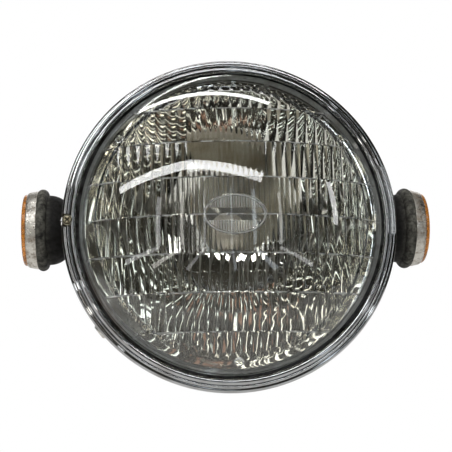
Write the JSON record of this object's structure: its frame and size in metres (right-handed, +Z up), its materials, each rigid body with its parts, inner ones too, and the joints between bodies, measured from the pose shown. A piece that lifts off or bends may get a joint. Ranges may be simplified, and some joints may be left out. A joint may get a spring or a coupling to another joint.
{
  "type": "motorcycle headlight",
  "caption": "Round motorcycle headlight: fluted glass beam unit in a chrome rim on a black bowl shell, an amber reflector on each side, the beam aimed sideways by a screw in the rim.",
  "frame": {"origin": "middle of the sideways mounting axis, halfway between the two side studs", "axes": "+X along the mounting axis to the viewer's right, the beam shines along -Y, +Z up"},
  "size_m": [0.2414, 0.16, 0.19],
  "materials": {
    "shell_paint": "gloss black paint, a little dusty",
    "black_rubber": "matt black rubber",
    "rim_chrome": "polished chrome with a fine haze",
    "plated_steel": "zinc-plated steel",
    "screw_steel": "plated screw",
    "yellow_plate": "aged yellow-plated steel",
    "spring_steel": "dull spring steel",
    "ring_steel": "plain pressed steel",
    "clear_glass": "clear pressed glass, smooth outside and fluted inside",
    "mirror_coat": "aluminised mirror coat on glass",
    "shield_metal": "dark sheet metal",
    "filament_wire": "nickel and tungsten wire",
    "terminal_brass": "tinned brass blade",
    "side_rubber": "black rubber, dusty on its round edge",
    "bezel_metal": "aged, pitted metal bezel",
    "amber_lens": "amber reflector plastic"
  },
  "bodies": {
    "housing": {"shell": "shell_paint", "harness_grommet": "black_rubber", "rim": "rim_chrome", "rim_bracket_left": "plated_steel", "rim_bracket_right": "plated_steel", "rim_nut_left": "plated_steel", "rim_nut_right": "plated_steel", "rim_screw_left": "screw_steel", "rim_screw_right": "screw_steel", "pivot_bracket_top": "plated_steel", "pivot_bracket_bottom": "plated_steel", "pivot_pin_top": "plated_steel", "pivot_pin_bottom": "plated_steel", "aim_seat": "yellow_plate", "aim_spring": "spring_steel", "side_base_left": "side_rubber", "side_base_right": "side_rubber", "side_bezel_left": "bezel_metal", "side_bezel_right": "bezel_metal", "side_lens_left": "amber_lens", "side_lens_right": "amber_lens", "side_stud_left": "plated_steel", "side_stud_right": "plated_steel", "side_washer_left": "plated_steel", "side_washer_right": "plated_steel", "side_lock_washer_left": "spring_steel", "side_lock_washer_right": "spring_steel", "side_nut_left": "plated_steel", "side_nut_right": "plated_steel"},
    "beam": {"unit_ring": "ring_steel", "retainer_ring": "ring_steel", "retainer_rivets": "plated_steel", "lens": "clear_glass", "reflector": "mirror_coat", "filament_shield": "shield_metal", "filament_low": "filament_wire", "filament_high": "filament_wire", "post_common": "filament_wire", "post_low": "filament_wire", "post_high": "filament_wire", "ferrule_common": "plated_steel", "ferrule_low": "plated_steel", "ferrule_high": "plated_steel", "terminal_common": "terminal_brass", "terminal_low": "terminal_brass", "terminal_high": "terminal_brass", "aim_nut": "yellow_plate"},
    "aiming_screw": {"aim_screw": "yellow_plate"}
  },
  "joints": [
    {"name": "beam_aim", "type": "hinge", "parent": "housing", "child": "beam", "pos_m": [0, -0.03087, -0.003], "axis": [0, 0, 1], "range_deg": [-2, 2], "deforming": ["aim_spring"]},
    {"name": "aim_screw_turn", "type": "hinge", "parent": "housing", "child": "aiming_screw", "pos_m": [-0.0915, -0.0448, -0.0011], "axis": [0, 1, 0], "range_deg": [-1660, 1660]}
  ],
  "couplings": [
    {"joint": "aim_screw_turn", "follows": "beam_aim", "ratio": 821.3}
  ]
}
